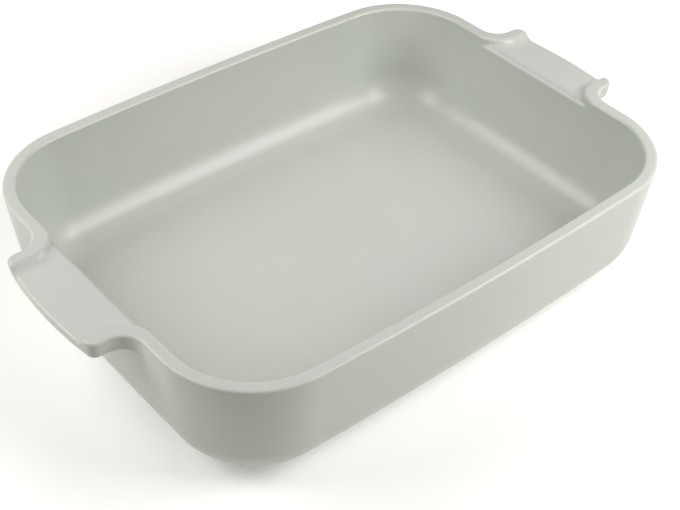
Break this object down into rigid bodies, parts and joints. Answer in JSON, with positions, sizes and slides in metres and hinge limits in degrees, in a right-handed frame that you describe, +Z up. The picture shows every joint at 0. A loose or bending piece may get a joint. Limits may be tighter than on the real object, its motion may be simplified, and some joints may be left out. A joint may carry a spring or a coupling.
{
  "type": "lasagna dish",
  "caption": "Deep rectangular glazed stoneware lasagna dish with rounded corners and a flat lug handle at each end, standing on a bare foot ring.",
  "frame": {"origin": "under the middle of the dish, on the plane that it stands on", "axes": "+X from the left handle to the right handle, +Y across the dish, +Z up out of its mouth"},
  "size_m": [0.4022, 0.2654, 0.0805],
  "materials": {
    "clay": "matte fired stoneware",
    "bare_clay": "matte fired stoneware",
    "glaze": "satin grey-green glaze"
  },
  "bodies": {
    "root": {"stoneware_basin": "clay", "foot_ring": "bare_clay", "right_handle": "clay", "left_handle": "clay", "inner_glaze": "glaze", "outer_glaze": "glaze", "base_glaze": "glaze", "right_handle_glaze": "glaze", "left_handle_glaze": "glaze"}
  },
  "joints": []
}
